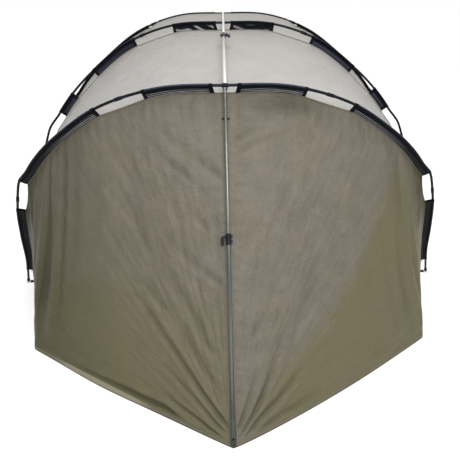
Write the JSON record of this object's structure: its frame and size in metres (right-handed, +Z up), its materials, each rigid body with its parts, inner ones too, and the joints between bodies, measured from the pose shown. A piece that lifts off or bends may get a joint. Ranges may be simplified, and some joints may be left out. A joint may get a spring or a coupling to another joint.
{
  "type": "bivvy tent",
  "caption": "Bivvy tent with leaning pole hoops in sewn sleeves, a pointed rear wall, a telescopic ridge pole and rear prop, and a front door.",
  "frame": {"origin": "centre of the bounding box on the ground", "axes": "+Z up, +Y from the pointed rear to the door, +X to the right seen from the rear"},
  "size_m": [3.0336, 3.0256, 1.738],
  "materials": {
    "hoop_alloy": "black anodised tube",
    "silver_tube": "clear anodised tube",
    "grey_tube": "grey anodised tube",
    "ring_steel": "plated wire",
    "slider_metal": "die cast and plated",
    "black_plastic": "moulded, faint grain",
    "wall_cloth": "coated woven polyester, khaki",
    "roof_cloth": "coated woven polyester, pale sheen",
    "hem_cloth": "folded coated cloth",
    "sleeve_cloth": "close black weave",
    "webbing": "woven tape",
    "groundsheet": "heavy coated sheet",
    "window_film": "clear film"
  },
  "bodies": {
    "tent": {"rear_hoop_crown": "hoop_alloy", "rear_hoop_left_shoulder": "hoop_alloy", "rear_hoop_right_shoulder": "hoop_alloy", "rear_hoop_left_leg": "hoop_alloy", "rear_hoop_right_leg": "hoop_alloy", "rear_hoop_sleeves": "sleeve_cloth", "middle_hoop_crown": "hoop_alloy", "middle_hoop_left_shoulder": "hoop_alloy", "middle_hoop_right_shoulder": "hoop_alloy", "middle_hoop_left_leg": "hoop_alloy", "middle_hoop_right_leg": "hoop_alloy", "middle_hoop_sleeves": "sleeve_cloth", "front_hoop_crown": "hoop_alloy", "front_hoop_left_shoulder": "hoop_alloy", "front_hoop_right_shoulder": "hoop_alloy", "front_hoop_left_leg": "hoop_alloy", "front_hoop_right_leg": "hoop_alloy", "front_hoop_sleeves": "sleeve_cloth", "rear_wall_left": "wall_cloth", "rear_wall_right": "wall_cloth", "rear_bay_left": "roof_cloth", "rear_bay_right": "roof_cloth", "front_bay_left": "roof_cloth", "front_bay_right": "roof_cloth", "front_wall_left": "wall_cloth", "front_wall_right": "wall_cloth", "front_header": "wall_cloth", "window_pane_left": "window_film", "window_pane_right": "window_film", "door_zip_left": "webbing", "door_zip_right": "webbing", "hem_left": "hem_cloth", "hem_right": "hem_cloth", "hem_front": "hem_cloth", "foot_ring_rear_left": "ring_steel", "foot_ring_rear_right": "ring_steel", "foot_ring_middle_left": "ring_steel", "foot_ring_middle_right": "ring_steel", "foot_ring_front_left": "ring_steel", "foot_ring_front_right": "ring_steel", "groundsheet": "groundsheet", "ridge_front_tube": "silver_tube", "ridge_front_saddle": "black_plastic", "rear_tie_strap": "webbing", "rear_tip_patch": "webbing"},
    "rear_prop": {"prop_saddle": "black_plastic", "prop_upper_tube": "silver_tube"},
    "prop_leg": {"prop_lower_tube": "grey_tube", "prop_lock_collar": "black_plastic", "prop_foot_cap": "black_plastic"},
    "prop_lever": {"prop_lock_lever": "black_plastic"},
    "ridge_slider": {"ridge_rear_saddle": "black_plastic", "ridge_rear_tube": "silver_tube", "ridge_lock_collar": "black_plastic"},
    "ridge_lever": {"ridge_lock_lever": "black_plastic"},
    "door": {"door_panel": "wall_cloth"},
    "left_slider": {"door_slider_left": "slider_metal"},
    "right_slider": {"door_slider_right": "slider_metal"}
  },
  "joints": [
    {"name": "prop_swing", "type": "hinge", "parent": "tent", "child": "rear_prop", "pos_m": [0, -0.53774, 1.68418], "axis": [-1, 0, 0], "range_deg": [0, 40]},
    {"name": "prop_telescope", "type": "slide", "parent": "rear_prop", "child": "prop_leg", "axis": [0, 0.5062, 0.8624], "range_m": [0, 0.35]},
    {"name": "prop_lock", "type": "hinge", "parent": "prop_leg", "child": "prop_lever", "pos_m": [-0.01985, -0.9389, 1.00071], "axis": [0, 0.8624, -0.5062], "range_deg": [0, 90]},
    {"name": "ridge_telescope", "type": "slide", "parent": "tent", "child": "ridge_slider", "axis": [0, 0.9993, 0.0368], "range_m": [0, 0.12]},
    {"name": "ridge_lock", "type": "hinge", "parent": "ridge_slider", "child": "ridge_lever", "pos_m": [0.01985, 0.37114, 1.71761], "axis": [0, -0.0368, 0.9993], "range_deg": [0, 90]},
    {"name": "door_fold", "type": "hinge", "parent": "tent", "child": "door", "pos_m": [0, 0.73185, 0.03067], "axis": [-1, 0, 0], "range_deg": [0, 60]},
    {"name": "left_zip", "type": "slide", "parent": "tent", "child": "left_slider", "axis": [-0.069, -0.4389, -0.8959], "range_m": [0, 1.3]},
    {"name": "right_zip", "type": "slide", "parent": "tent", "child": "right_slider", "axis": [0.069, -0.4389, -0.8959], "range_m": [0, 1.3]}
  ]
}
